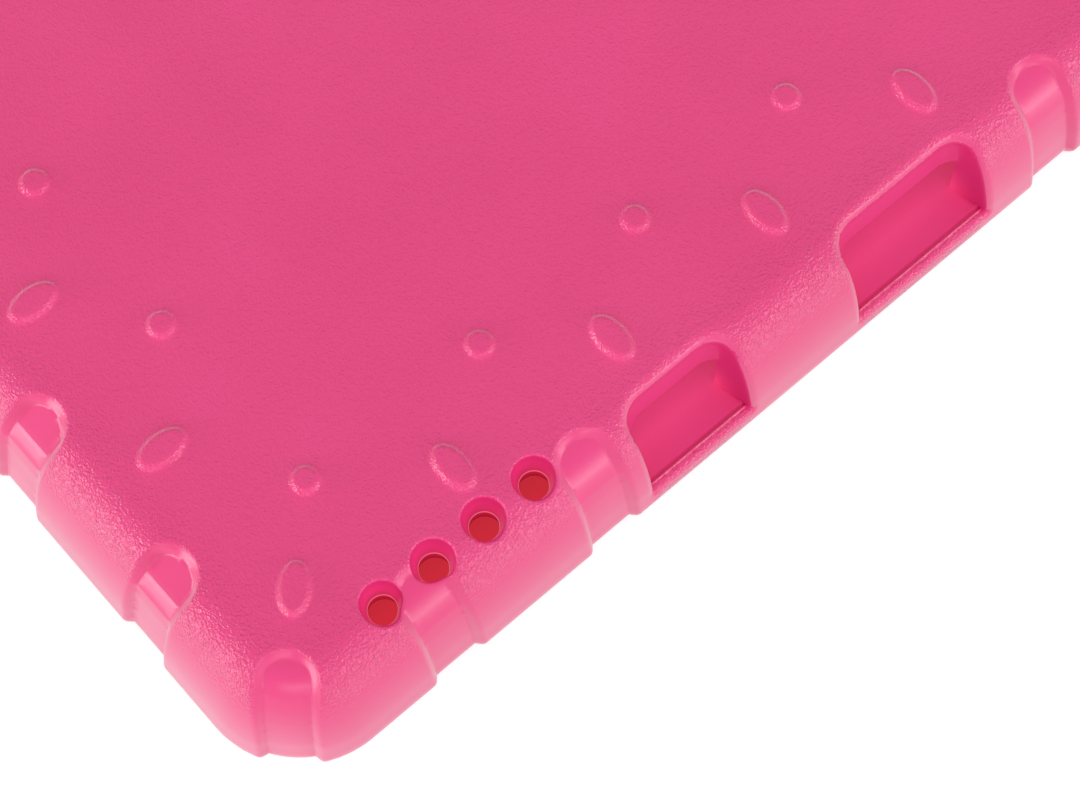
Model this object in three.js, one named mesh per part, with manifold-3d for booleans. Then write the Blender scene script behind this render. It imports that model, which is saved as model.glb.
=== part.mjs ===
import * as THREE from "three";
import { mergeVertices } from "three/addons/utils/BufferGeometryUtils.js";
import Module from "manifold-3d";

// A child's tablet case: one soft shell moulded in EVA foam, lying on its front with its back up.
// Millimetres. X runs along the long side, Y along the short side, Z from the front lip to the back.
// The origin is the middle of the front, on the plane that the case lies on.

// The tablet that the case is made for, and the room round it
const TABLET_LENGTH = 242.2;
const TABLET_WIDTH = 158.2;
const TABLET_THICKNESS = 8;
const TABLET_CORNER_RADIUS = 7.6;
const SIDE_CLEARANCE = 0.4;
const THICKNESS_CLEARANCE = 0.5;

// Walls of the shell
const SIDE_WALL = 7;
const BACK_WALL = 6;
const FRONT_LIP = 5.5;
const LIP_OVERLAP = 7.5;
const LIP_EDGE = 3;
const LIP_SLOPE_WIDTH = 5;
const WINDOW_CORNER_RADIUS = 6;

// Rounded outside: the shoulder falls from the back to the leaning side
const CORNER_RADIUS = 15;
const SHOULDER_WIDTH = 9.5;
const SHOULDER_DROP = 13;
const SIDE_LEAN = 0.6;
const FRONT_EDGE_RADIUS = 3;

// Grip grooves that run in over the shoulder, one row along each side and one at each corner
const GROOVE_WIDTH = 7.5;
const GROOVE_DEPTH = 1;
const GROOVE_REACH = 10;
const CORNER_GROOVE_REACH = 16.5;
const FIRST_STATION = 30.5;
const STATION_PITCH = 28;

// Raised bumps on the back: ovals half way between the grooves, round dots in line with them
const OVAL_INSET = 17.1;
const OVAL_LENGTH = 8.6;
const OVAL_WIDTH = 5.4;
const OVAL_HEIGHT = 0.9;
const CORNER_OVAL_INSET = 18;
const DOT_INSET = 28.1;
const CORNER_DOT_INSET = 28.6;
const DOT_DIAMETER = 4.9;
const DOT_HEIGHT = 0.8;
const BUMP_ROOT = 1;

// Speaker holes through the back, close to one corner
const SPEAKER_HOLES = 4;
const SPEAKER_START = 25.35;
const SPEAKER_PITCH = 8.75;
const SPEAKER_INSET = 9.05;
const SPEAKER_MOUTH = 6;
const SPEAKER_THROAT = 4.6;

// Notches for the side buttons and the charging port, and the thin bead on their floor
const POWER_NOTCH_START = 66.1;
const POWER_NOTCH_WIDTH = 17.9;
const VOLUME_NOTCH_START = 104.9;
const VOLUME_NOTCH_WIDTH = 24.3;
const PORT_NOTCH_WIDTH = 18;
const NOTCH_REACH = 8.2;
const NOTCH_CORNER_RADIUS = 4;
const NOTCH_BEAD_INSET = 1.2;
const NOTCH_BEAD_WIDTH = 0.6;
const NOTCH_BEAD_HEIGHT = 0.4;

// Window for the tablet's rear camera
const CAMERA_LENGTH = 20;
const CAMERA_WIDTH = 13;
const CAMERA_INSET_X = 26;
const CAMERA_INSET_Y = 20;

// Least material between an opening and a groove or bump; where there is less, the pattern skips one
const PATTERN_GAP = 1.2;

// How far the cutting solids run past the faces that they cut
const MARGIN = 4;

// How finely rounded corners are divided: twice this many steps to an arc
const ARC_STEPS = 3;

const POCKET_LENGTH = TABLET_LENGTH + 2 * SIDE_CLEARANCE;
const POCKET_WIDTH = TABLET_WIDTH + 2 * SIDE_CLEARANCE;
const POCKET_TOP = FRONT_LIP + TABLET_THICKNESS + THICKNESS_CLEARANCE;
const LENGTH = POCKET_LENGTH + 2 * SIDE_WALL;
const WIDTH = POCKET_WIDTH + 2 * SIDE_WALL;
const THICKNESS = POCKET_TOP + BACK_WALL;

const wasm = await Module();
wasm.setup();

function solidOf(geometry) {
  const bare = geometry.clone();
  bare.deleteAttribute("normal");
  bare.deleteAttribute("uv");
  const merged = mergeVertices(bare, 1e-4);
  const mesh = new wasm.Mesh({
    numProp: 3,
    vertProperties: new Float32Array(merged.attributes.position.array),
    triVerts: new Uint32Array(merged.index.array),
  });
  return new wasm.Manifold(mesh);
}

function geometryOf(solid) {
  const { vertProperties, triVerts } = solid.getMesh();
  const geometry = new THREE.BufferGeometry();
  geometry.setAttribute("position", new THREE.BufferAttribute(vertProperties, 3));
  geometry.setIndex(new THREE.BufferAttribute(triVerts, 1));
  geometry.computeVertexNormals();
  return geometry;
}

function placed(geometry, x, y, z, turn = 0) {
  return solidOf(geometry.clone().rotateZ(turn).translate(x, y, z));
}

// A rectangle with rounded corners, centred on the origin
function roundedRectangle(length, width, radius) {
  const x = length / 2;
  const y = width / 2;
  const r = Math.min(Math.max(radius, 0.5), x, y);
  const shape = new THREE.Shape();
  shape.absarc(x - r, y - r, r, 0, Math.PI / 2);
  shape.absarc(r - x, y - r, r, Math.PI / 2, Math.PI);
  shape.absarc(r - x, r - y, r, Math.PI, 1.5 * Math.PI);
  shape.absarc(x - r, r - y, r, 1.5 * Math.PI, 2 * Math.PI);
  return shape;
}

// A closed body through a stack of rounded rectangles, each { inset, height } from the outer edge
function stackedBody(sections, radius) {
  const loops = sections.map(({ inset }) =>
    roundedRectangle(LENGTH - 2 * inset, WIDTH - 2 * inset, radius - inset).getPoints(ARC_STEPS).slice(0, -1));
  const count = loops[0].length;
  const points = [];
  loops.forEach((loop, level) => {
    loop.forEach((point) => points.push(point.x, point.y, sections[level].height));
  });
  const faces = [];
  for (let level = 0; level + 1 < loops.length; level += 1) {
    for (let i = 0; i < count; i += 1) {
      const a = level * count + i;
      const b = level * count + ((i + 1) % count);
      faces.push(a, b, b + count, a, b + count, a + count);
    }
  }
  const lastLoop = (loops.length - 1) * count;
  for (let i = 1; i + 1 < count; i += 1) {
    faces.push(0, i + 1, i, lastLoop, lastLoop + i, lastLoop + i + 1);
  }
  const geometry = new THREE.BufferGeometry();
  geometry.setAttribute("position", new THREE.Float32BufferAttribute(points, 3));
  geometry.setIndex(faces);
  return solidOf(geometry);
}

// The outside of the shell, from the front face over the side and shoulder to the back.
// With a depth it is the same form set in by that depth, which is the floor of the grooves.
function outerBody(depth) {
  const side = new THREE.Path();
  const back = THICKNESS - depth;
  const shoulderFoot = THICKNESS - SHOULDER_DROP;
  side.moveTo(FRONT_EDGE_RADIUS + depth, 0);
  side.quadraticCurveTo(depth, 0, depth, FRONT_EDGE_RADIUS);
  side.lineTo(depth + SIDE_LEAN, shoulderFoot);
  side.bezierCurveTo(
    depth + SIDE_LEAN + 0.19 * SHOULDER_WIDTH, shoulderFoot + 0.68 * SHOULDER_DROP,
    SHOULDER_WIDTH * 0.63, back,
    SHOULDER_WIDTH, back,
  );
  const sections = side.getPoints(4).map((point) => ({ inset: point.x, height: point.y }));
  return stackedBody(sections, CORNER_RADIUS);
}

// The four sides in turn: the direction that the side faces, how long it is and how far out it lies
const BUTTON_SIDE = { turn: -Math.PI / 2, span: LENGTH, reach: WIDTH / 2 };
const PORT_SIDE = { turn: 0, span: WIDTH, reach: LENGTH / 2 };
const PLAIN_SIDE = { turn: Math.PI / 2, span: LENGTH, reach: WIDTH / 2 };
const SHORT_SIDE = { turn: Math.PI, span: WIDTH, reach: LENGTH / 2 };
const SIDES = [BUTTON_SIDE, PORT_SIDE, PLAIN_SIDE, SHORT_SIDE];

// A place on the back: so far along a side from its middle, and so far in from its outer edge
function placeOn(side, along, inset) {
  return new THREE.Vector2(side.reach - inset, along).rotateAround(new THREE.Vector2(), side.turn);
}

// Groove stations along a side, spread evenly so that the first and last keep their corner distance
function stationsOf(side) {
  const run = side.span - 2 * FIRST_STATION;
  const gaps = Math.max(1, Math.round(run / STATION_PITCH));
  return Array.from({ length: gaps + 1 }, (_, i) => -run / 2 + (i * run) / gaps);
}

// The corners in turn, each between one side and the next
const CORNERS = SIDES.map((side) => {
  const next = side.turn + Math.PI / 2;
  const signX = Math.sign(Math.round(Math.cos(side.turn) + Math.cos(next)));
  const signY = Math.sign(Math.round(Math.sin(side.turn) + Math.sin(next)));
  return { signX, signY, turn: Math.atan2(signY, signX) };
});

function placeInCorner(corner, inset) {
  return new THREE.Vector2(corner.signX * (LENGTH / 2 - inset), corner.signY * (WIDTH / 2 - inset));
}

// Where notches and the camera window take the place of the pattern
const POWER_NOTCH_MIDDLE = POWER_NOTCH_START + POWER_NOTCH_WIDTH / 2 - LENGTH / 2;
const VOLUME_NOTCH_MIDDLE = VOLUME_NOTCH_START + VOLUME_NOTCH_WIDTH / 2 - LENGTH / 2;
const NOTCHES = [
  { side: BUTTON_SIDE, middle: POWER_NOTCH_MIDDLE, width: POWER_NOTCH_WIDTH },
  { side: BUTTON_SIDE, middle: VOLUME_NOTCH_MIDDLE, width: VOLUME_NOTCH_WIDTH },
  { side: PORT_SIDE, middle: 0, width: PORT_NOTCH_WIDTH },
];
const CAMERA = new THREE.Vector2(LENGTH / 2 - CAMERA_INSET_X, WIDTH / 2 - CAMERA_INSET_Y);

function meetsNotch(side, along) {
  return NOTCHES.some((notch) =>
    notch.side === side && Math.abs(notch.middle - along) < (notch.width + GROOVE_WIDTH) / 2 + PATTERN_GAP);
}

function meetsCamera(place, size) {
  const nearX = Math.abs(place.x - CAMERA.x) < (CAMERA_LENGTH + size) / 2 + PATTERN_GAP;
  return nearX && Math.abs(place.y - CAMERA.y) < (CAMERA_WIDTH + size) / 2 + PATTERN_GAP;
}

// Cutting shape of one groove, with a half round inner end; it runs out along +X past the edge
function grooveCutter(reach) {
  const r = GROOVE_WIDTH / 2;
  const shape = new THREE.Shape();
  shape.moveTo(MARGIN, r);
  shape.lineTo(r - reach, r);
  shape.absarc(r - reach, 0, r, Math.PI / 2, 1.5 * Math.PI);
  shape.lineTo(MARGIN, -r);
  return new THREE.ExtrudeGeometry(shape, {
    depth: THICKNESS + 2 * MARGIN, bevelEnabled: false, curveSegments: ARC_STEPS,
  });
}

function grooves() {
  const cutters = [];
  for (const side of SIDES) {
    for (const along of stationsOf(side)) {
      if (!meetsNotch(side, along)) {
        const edge = placeOn(side, along, 0);
        cutters.push(placed(grooveCutter(GROOVE_REACH), edge.x, edge.y, -MARGIN, side.turn));
      }
    }
  }
  for (const corner of CORNERS) {
    const tip = placeInCorner(corner, 0);
    cutters.push(placed(grooveCutter(CORNER_GROOVE_REACH), tip.x, tip.y, -MARGIN, corner.turn));
  }
  return wasm.Manifold.union(cutters);
}

// A low dome that stands on the back and has its root in the wall
function bump(length, width, height) {
  const profile = new THREE.Path();
  profile.moveTo(0, -BUMP_ROOT);
  profile.lineTo(1, -BUMP_ROOT);
  profile.lineTo(1, 0);
  profile.quadraticCurveTo(0.85, height, 0.4, height);
  profile.lineTo(0, height);
  return new THREE.LatheGeometry(profile.getPoints(2), 12).rotateX(Math.PI / 2).scale(length / 2, width / 2, 1);
}

function bumps() {
  const oval = bump(OVAL_LENGTH, OVAL_WIDTH, OVAL_HEIGHT);
  const dot = bump(DOT_DIAMETER, DOT_DIAMETER, DOT_HEIGHT);
  const solids = [];
  const put = (shape, place, turn, size) => {
    if (!meetsCamera(place, size)) {
      solids.push(placed(shape, place.x, place.y, THICKNESS, turn));
    }
  };
  for (const side of SIDES) {
    const stations = stationsOf(side);
    for (let i = 0; i + 1 < stations.length; i += 1) {
      const between = (stations[i] + stations[i + 1]) / 2;
      put(oval, placeOn(side, between, OVAL_INSET), side.turn, OVAL_LENGTH);
    }
    for (const along of stations.slice(1, -1)) {
      put(dot, placeOn(side, along, DOT_INSET), 0, DOT_DIAMETER);
    }
  }
  for (const corner of CORNERS) {
    put(oval, placeInCorner(corner, CORNER_OVAL_INSET), corner.turn, OVAL_LENGTH);
    put(dot, placeInCorner(corner, CORNER_DOT_INSET), 0, DOT_DIAMETER);
  }
  return wasm.Manifold.union(solids);
}

// Speaker holes, wide at the mouth and narrow where they meet the tablet
function speakerHoles() {
  const taper = (SPEAKER_MOUTH - SPEAKER_THROAT) / BACK_WALL;
  const wide = SPEAKER_MOUTH + MARGIN * taper;
  const narrow = SPEAKER_THROAT - MARGIN * taper;
  const cone = new THREE.CylinderGeometry(wide / 2, narrow / 2, BACK_WALL + 2 * MARGIN, 20).rotateX(Math.PI / 2);
  const middle = THICKNESS - BACK_WALL / 2;
  return wasm.Manifold.union(Array.from({ length: SPEAKER_HOLES }, (_, i) => {
    const place = placeOn(BUTTON_SIDE, SPEAKER_START + i * SPEAKER_PITCH - LENGTH / 2, SPEAKER_INSET);
    return placed(cone, place.x, place.y, middle);
  }));
}

// A notch opens the back and the side down to the lip; its outline is drawn out along +X
function notchCutter(width) {
  const depth = NOTCH_REACH + MARGIN + NOTCH_CORNER_RADIUS;
  const outline = roundedRectangle(depth, width, NOTCH_CORNER_RADIUS);
  const cutter = new THREE.ExtrudeGeometry(outline, {
    depth: THICKNESS - FRONT_LIP + MARGIN, bevelEnabled: false, curveSegments: ARC_STEPS,
  });
  return cutter.translate(depth / 2 - NOTCH_REACH, 0, 0);
}

function notches() {
  return wasm.Manifold.union(NOTCHES.map((notch) => {
    const edge = placeOn(notch.side, notch.middle, 0);
    return placed(notchCutter(notch.width), edge.x, edge.y, FRONT_LIP, notch.side.turn);
  }));
}

// The bead stands on the lip and has its two ends in the notch's end walls
function notchBeads() {
  return wasm.Manifold.union(NOTCHES.map((notch) => {
    const height = NOTCH_BEAD_HEIGHT + BUMP_ROOT;
    const bead = new THREE.BoxGeometry(NOTCH_BEAD_WIDTH, notch.width + 2 * BUMP_ROOT, height);
    const place = placeOn(notch.side, notch.middle, NOTCH_BEAD_INSET + NOTCH_BEAD_WIDTH / 2);
    return placed(bead, place.x, place.y, FRONT_LIP + NOTCH_BEAD_HEIGHT - height / 2, notch.side.turn);
  }));
}

function cameraWindow() {
  const outline = roundedRectangle(CAMERA_LENGTH, CAMERA_WIDTH, CAMERA_WIDTH / 2);
  const cutter = new THREE.ExtrudeGeometry(outline, {
    depth: BACK_WALL + 2 * MARGIN, bevelEnabled: false, curveSegments: 2 * ARC_STEPS,
  });
  return placed(cutter, CAMERA.x, CAMERA.y, POCKET_TOP - MARGIN);
}

// The hollow that holds the tablet, between the lip and the back wall
function tabletPocket() {
  const outline = roundedRectangle(POCKET_LENGTH, POCKET_WIDTH, TABLET_CORNER_RADIUS + SIDE_CLEARANCE);
  const cutter = new THREE.ExtrudeGeometry(outline, {
    depth: POCKET_TOP - FRONT_LIP, bevelEnabled: false, curveSegments: ARC_STEPS,
  });
  return placed(cutter, 0, 0, FRONT_LIP);
}

// The window in the front, through which the screen shows; its lip slopes down to the glass
function screenWindow() {
  const inset = SIDE_WALL + LIP_OVERLAP;
  const slopeTop = FRONT_LIP - LIP_EDGE;
  const slope = LIP_SLOPE_WIDTH / slopeTop;
  return stackedBody([
    { inset: inset - LIP_SLOPE_WIDTH - MARGIN * slope, height: -MARGIN },
    { inset, height: slopeTop },
    { inset, height: FRONT_LIP + MARGIN },
  ], inset + WINDOW_CORNER_RADIUS);
}

const shell = outerBody(0)
  .subtract(grooves())
  .add(outerBody(GROOVE_DEPTH))
  .add(bumps())
  .subtract(tabletPocket())
  .subtract(screenWindow())
  .subtract(notches())
  .add(notchBeads())
  .subtract(speakerHoles())
  .subtract(cameraWindow());

const foam = new THREE.MeshStandardMaterial({ color: 0xe64c83, roughness: 0.55, metalness: 0 });
const caseShell = new THREE.Mesh(geometryOf(shell), foam);
caseShell.name = "case_shell";

const tabletCase = new THREE.Group();
tabletCase.add(caseShell);

export default tabletCase;
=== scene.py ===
import math
import bmesh
import bpy
import numpy as np
from mathutils import Matrix, Vector
from mathutils.geometry import delaunay_2d_cdt


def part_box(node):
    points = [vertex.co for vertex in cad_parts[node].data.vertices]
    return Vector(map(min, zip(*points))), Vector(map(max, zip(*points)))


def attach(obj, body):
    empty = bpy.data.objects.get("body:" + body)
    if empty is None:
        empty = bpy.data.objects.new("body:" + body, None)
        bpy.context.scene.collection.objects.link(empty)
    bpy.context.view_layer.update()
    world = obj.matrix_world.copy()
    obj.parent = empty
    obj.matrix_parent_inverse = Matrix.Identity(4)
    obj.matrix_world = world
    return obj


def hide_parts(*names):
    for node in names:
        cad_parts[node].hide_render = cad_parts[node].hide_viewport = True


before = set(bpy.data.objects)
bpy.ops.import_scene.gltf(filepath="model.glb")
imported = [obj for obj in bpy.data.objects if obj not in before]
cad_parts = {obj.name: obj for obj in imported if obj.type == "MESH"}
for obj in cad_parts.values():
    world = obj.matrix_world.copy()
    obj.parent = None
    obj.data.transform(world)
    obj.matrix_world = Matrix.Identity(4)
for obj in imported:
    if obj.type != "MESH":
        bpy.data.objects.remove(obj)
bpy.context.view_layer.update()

# Camera
# It looks down on the corner with the speaker holes, from the corner's own side, as in the photograph.
# The middle of the picture lies on the back, that far in from the two sides that meet there.
MILLIMETRE = 0.001
VIEW_INSET = (58.9, 16.2)
OVAL_HEIGHT = 0.9
shell_low, shell_high = [np.array(corner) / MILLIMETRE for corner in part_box("case_shell")]
back_level = shell_high[2] - OVAL_HEIGHT
view_point = Vector((*(shell_low[:2] + VIEW_INSET), back_level)) * MILLIMETRE
view_azimuth = math.radians(229.76)
view_elevation = math.radians(69.31)
view_roll = math.radians(-0.93)
view_distance = 0.4
photo_focal_pixels = 3000
photo_width_pixels = 1080

camera_data = bpy.data.cameras.new("camera")
camera = bpy.data.objects.new("camera", camera_data)
bpy.context.scene.collection.objects.link(camera)
camera_data.sensor_width = 36
camera_data.lens = photo_focal_pixels / photo_width_pixels * camera_data.sensor_width
camera_data.clip_start = 0.01
toward_camera = Vector((
    math.cos(view_elevation) * math.cos(view_azimuth),
    math.cos(view_elevation) * math.sin(view_azimuth),
    math.sin(view_elevation),
))
turn = toward_camera.to_track_quat("Z", "Y").to_matrix() @ Matrix.Rotation(view_roll, 3, "Z")
camera.matrix_world = Matrix.Translation(view_point + toward_camera * view_distance) @ turn.to_4x4()
bpy.context.scene.camera = camera


# Outside of the case shell
# The whole case is one moulding of soft EVA foam. Its back is flat and falls over a wide rounded
# shoulder to the side. Bumps stand on the back and grip grooves run in over the shoulder.
CORNER_RADIUS = 15.0
SHOULDER_WIDTH = 9.5
SHOULDER_DROP = 13.0
SHOULDER_STEPS = 60
FOOT_HANDLE = (0.19, 0.68)
TOP_HANDLE = 0.63
SIDE_LEAN = 0.6
FRONT_EDGE = 3.0
FRONT_EDGE_STEPS = 16
FLAT_RADIUS = CORNER_RADIUS - SHOULDER_WIDTH
half_size = shell_high[:2]
core_half = half_size - CORNER_RADIUS


def smooth(value):
    """An even step from 0 to 1 that starts and ends softly."""
    value = np.clip(value, 0.0, 1.0)
    return value * value * (3 - 2 * value)


def side_profile():
    """Points (inset, height) from the edge of the flat back, over the shoulder and side, to the front."""
    step = np.linspace(0, 1, SHOULDER_STEPS)[:, None]
    foot = np.array([SIDE_LEAN, back_level - SHOULDER_DROP])
    handle_low = foot + [FOOT_HANDLE[0] * SHOULDER_WIDTH, FOOT_HANDLE[1] * SHOULDER_DROP]
    handle_high = np.array([TOP_HANDLE * SHOULDER_WIDTH, back_level])
    top = np.array([SHOULDER_WIDTH, back_level])
    shoulder = (
        (1 - step) ** 3 * top + 3 * (1 - step) ** 2 * step * handle_high
        + 3 * (1 - step) * step ** 2 * handle_low + step ** 3 * foot
    )
    angle = np.linspace(0, math.pi / 2, FRONT_EDGE_STEPS)
    front = FRONT_EDGE * np.column_stack([1 - np.cos(angle), 1 - np.sin(angle)])
    return np.vstack([shoulder, front])


profile = side_profile()
profile_run = np.concatenate([[0], np.cumsum(np.linalg.norm(np.diff(profile, axis=0), axis=1))])
profile_slope = np.gradient(profile, profile_run, axis=0)
side_run = profile_run[-1]


def reach_from_core(points):
    """How far points lie outside the core, the rectangle between the middles of the case's corners."""
    return np.linalg.norm(points - np.clip(points, -core_half, core_half), axis=1)


def outside(flat):
    """Points of the shell's outside, and its directions outward, for points on the sheet rolled out flat."""
    core = np.clip(flat, -core_half, core_half)
    away = flat - core
    distance = np.linalg.norm(away, axis=1)
    radial = away / np.maximum(distance, 1e-9)[:, None]
    run = np.maximum(distance - FLAT_RADIUS, 0)
    inset = np.interp(run, profile_run, profile[:, 0])
    height = np.interp(run, profile_run, profile[:, 1])
    reach = np.where(run > 0, CORNER_RADIUS - inset, distance)
    fall = np.interp(run, profile_run, profile_slope[:, 0])
    drop = np.interp(run, profile_run, profile_slope[:, 1])
    points = np.column_stack([core + radial * reach[:, None], height])
    outward = np.column_stack([radial * -drop[:, None], -fall])
    outward[run <= 0] = (0, 0, 1)
    outward /= np.linalg.norm(outward, axis=1)[:, None]
    return points, outward


def rolled_out(plan):
    """Where a point of the back or shoulder, seen from above, lies on the flat sheet."""
    core = np.clip(plan, -core_half, core_half)
    away = plan - core
    reach = np.linalg.norm(away, axis=1)
    inset = CORNER_RADIUS - reach
    run = np.interp(-inset, -profile[:SHOULDER_STEPS, 0], profile_run[:SHOULDER_STEPS])
    distance = np.where(reach > FLAT_RADIUS, FLAT_RADIUS + run, reach)
    return core + away / np.maximum(reach, 1e-9)[:, None] * distance[:, None]


# The grooves and bumps keep one rhythm round the case: grooves at the stations, ovals half way
# between them and round dots in line with them. One groove and one bump of each kind sit on a corner.
GROOVE_WIDTH = 7.5
GROOVE_DEPTH = 1.0
GROOVE_REACH = 10.0
CORNER_GROOVE_REACH = 16.5
GROOVE_FOOT = 0.35
GROOVE_LIP = 1.2
GROOVE_SIDE_LIP = 0.8
SIDE_LIP_FROM = 4
SIDE_LIP_OVER = 8
ROUNDED_ON_LONG_SIDES = 0.7
FIRST_STATION = 30.5
STATION_PITCH = 28.0
OVAL_INSET = 17.1
OVAL_HALF = np.array([4.3, 2.7])
CORNER_OVAL_INSET = 18.0
DOT_INSET = 28.1
CORNER_DOT_INSET = 28.6
DOT_RADIUS = 2.45
DOT_HEIGHT = 0.8
PATTERN_GAP = 1.2

sides = []
for normal, along in [((0, -1), (1, 0)), ((1, 0), (0, 1)), ((0, 1), (-1, 0)), ((-1, 0), (0, -1))]:
    normal = np.array(normal, float)
    along = np.array(along, float)
    span = abs(along @ half_size) * 2
    count = round((span - 2 * FIRST_STATION) / STATION_PITCH) + 1
    stations = np.linspace(FIRST_STATION - span / 2, span / 2 - FIRST_STATION, count)
    sides.append({"normal": normal, "along": along, "edge": normal * half_size, "stations": stations})
button_side, port_side = sides[0], sides[1]

# Openings: notch of the power button, notch of the volume buttons, notch of the charging port, which
# sits in the middle of its side, and the window of the rear camera
NOTCH_REACH = 8.2
NOTCH_CORNER = 4.0
POWER_START, POWER_WIDTH = 66.1, 17.9
VOLUME_START, VOLUME_WIDTH = 104.9, 24.3
PORT_WIDTH = 18.0
notches = [
    {"side": button_side, "start": POWER_START - half_size[0], "width": POWER_WIDTH},
    {"side": button_side, "start": VOLUME_START - half_size[0], "width": VOLUME_WIDTH},
    {"side": port_side, "start": -PORT_WIDTH / 2, "width": PORT_WIDTH},
]
CAMERA_SIZE = np.array([20.0, 13.0])
CAMERA_INSET = (26.0, 20.0)
camera_middle = half_size - CAMERA_INSET


def meets_notch(side, station):
    for notch in notches:
        middle = notch["start"] + notch["width"] / 2
        room = (notch["width"] + GROOVE_WIDTH) / 2 + PATTERN_GAP
        if notch["side"] is side and abs(middle - station) < room:
            return True
    return False


def meets_camera(place, size):
    return bool(np.all(np.abs(place - camera_middle) < (CAMERA_SIZE + size) / 2 + PATTERN_GAP))


grooves = []
ovals = []
dots = []
for side in sides:
    for station in side["stations"]:
        if not meets_notch(side, station):
            grooves.append((side["edge"] + side["along"] * station, side["normal"], GROOVE_REACH))
    for station in (side["stations"][1:] + side["stations"][:-1]) / 2:
        ovals.append((side["edge"] + side["along"] * station - side["normal"] * OVAL_INSET, side["normal"]))
    for station in side["stations"][1:-1]:
        dots.append(side["edge"] + side["along"] * station - side["normal"] * DOT_INSET)
for sign in [(-1, -1), (1, -1), (1, 1), (-1, 1)]:
    sign = np.array(sign, float)
    diagonal = sign / math.sqrt(2)
    grooves.append((sign * half_size, diagonal, CORNER_GROOVE_REACH))
    ovals.append((sign * (half_size - CORNER_OVAL_INSET), diagonal))
    dots.append(sign * (half_size - CORNER_DOT_INSET))
ovals = [oval for oval in ovals if not meets_camera(oval[0], 2 * OVAL_HALF[0])]
dots = [dot for dot in dots if not meets_camera(dot, 2 * DOT_RADIUS)]


def groove_distance(plan):
    """Distance in from the nearest groove's outline, less than 0 outside the grooves."""
    inside = np.full(len(plan), -1e3)
    for tip, outward, reach in grooves:
        across = np.array([-outward[1], outward[0]])
        offset = plan - tip
        along = offset @ outward + reach - GROOVE_WIDTH / 2
        distance = np.hypot(np.minimum(along, 0), offset @ across)
        inside = np.maximum(inside, GROOVE_WIDTH / 2 - distance)
    return inside


# The floor of a groove is made of plain facets: a ramp down from the back, a steep one and the side.
# Each point is (inset, height). CREASES are the points where the facets meet in a crisp crease.
DEEPEST_FACET = 2
CREASES = [2, 3, 4]
groove_facets = np.array([
    (14.0, back_level - 1.0), (10.0, back_level - 1.0), (5.3, back_level - 3.8), (3.5, back_level - 5.8),
    (2.8, back_level - 8.2), (1.65, 6.5), (1.0, FRONT_EDGE - 0.3),
])
into = np.column_stack([-profile_slope[:, 1], profile_slope[:, 0]])
floor_depth = np.full(len(profile), GROOVE_DEPTH)
for start, end in zip(groove_facets[:-1], groove_facets[1:]):
    step = end - start
    offset = start - profile
    scale = into[:, 0] * step[1] - into[:, 1] * step[0]
    depth = (offset[:, 0] * step[1] - offset[:, 1] * step[0]) / scale
    share = (offset[:, 0] * into[:, 1] - offset[:, 1] * into[:, 0]) / scale
    on_facet = (share >= 0) & (share <= 1) & (profile[:, 1] > FRONT_EDGE)
    meets = on_facet & (depth > 0) & (depth < DEEPEST_FACET)
    floor_depth[meets] = depth[meets]
floor_line = profile + into * floor_depth[:, None]
crease_runs = [
    profile_run[np.argmin(np.linalg.norm(floor_line - groove_facets[k], axis=1))] for k in CREASES
]


def groove_share(plan, run):
    """How much of the full depth a groove has: a rounded lip, then a plain wall down to its floor."""
    lip = GROOVE_LIP + (GROOVE_SIDE_LIP - GROOVE_LIP) * smooth((run - SIDE_LIP_FROM) / SIDE_LIP_OVER)
    share = np.clip((groove_distance(plan) + lip) / (lip + GROOVE_FOOT), 0, 1)
    return np.where(share < 0.5, share ** 2, share - 0.25) * 4 / 3


def beside_groove(groove, run, across_by):
    """Points of the flat sheet that far down the side, and that far from the groove's middle line."""
    tip, outward, _ = groove
    across = np.array([-outward[1], outward[0]])
    core = np.clip(tip, -core_half, core_half)
    if abs(outward[0] * outward[1]) < 1e-6:
        return core + np.outer(across_by, across) + np.outer(FLAT_RADIUS + run, outward)
    reach = CORNER_RADIUS - np.interp(run, profile_run, profile[:, 0])
    ahead = np.sqrt(reach ** 2 - across_by ** 2)
    direction = (np.outer(ahead, outward) + np.outer(across_by, across)) / reach[:, None]
    return core + direction * (FLAT_RADIUS + run)[:, None]


WALL_ROWS = [-1.2, -1.0, -0.8, -0.61, -0.42, -0.05, 0.3, 0.39]
BEND_ONLY_ROWS = (-1.0, -0.61)
BEND_STEPS = 26
ROW_STEP = 0.55
ROW_END = 0.2
CREASE_HALF = 0.07
CREASE_STEPS = 15
CREASE_ROOM = 0.15


def groove_rows(groove):
    """Rows of points that follow a groove's lip, wall and creases, so that they stay crisp."""
    tip, outward, reach = groove
    across = np.array([-outward[1], outward[0]])
    hub = tip - outward * (reach - GROOVE_WIDTH / 2)
    rows = []
    for inside in WALL_ROWS:
        radius = GROOVE_WIDTH / 2 - inside
        angle = np.linspace(math.pi / 2, 1.5 * math.pi, BEND_STEPS)
        bend = hub + radius * (np.outer(np.cos(angle), outward) + np.outer(np.sin(angle), across))
        rows.append(rolled_out(bend))
        if inside in BEND_ONLY_ROWS:
            continue
        start = np.linalg.norm(rows[-1][0] - np.clip(rows[-1][0], -core_half, core_half)) - FLAT_RADIUS
        run = np.arange(start + ROW_STEP, side_run - ROW_END, ROW_STEP)
        for across_by in [-radius, radius]:
            rows.append(beside_groove(groove, run, np.full(len(run), across_by)))
    floor_half = GROOVE_WIDTH / 2 - GROOVE_FOOT - CREASE_ROOM
    for run in crease_runs:
        for shift in [-CREASE_HALF, CREASE_HALF]:
            across_by = np.linspace(-floor_half, floor_half, CREASE_STEPS)
            rows.append(beside_groove(groove, np.full(CREASE_STEPS, run + shift), across_by))
    return rows


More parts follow.
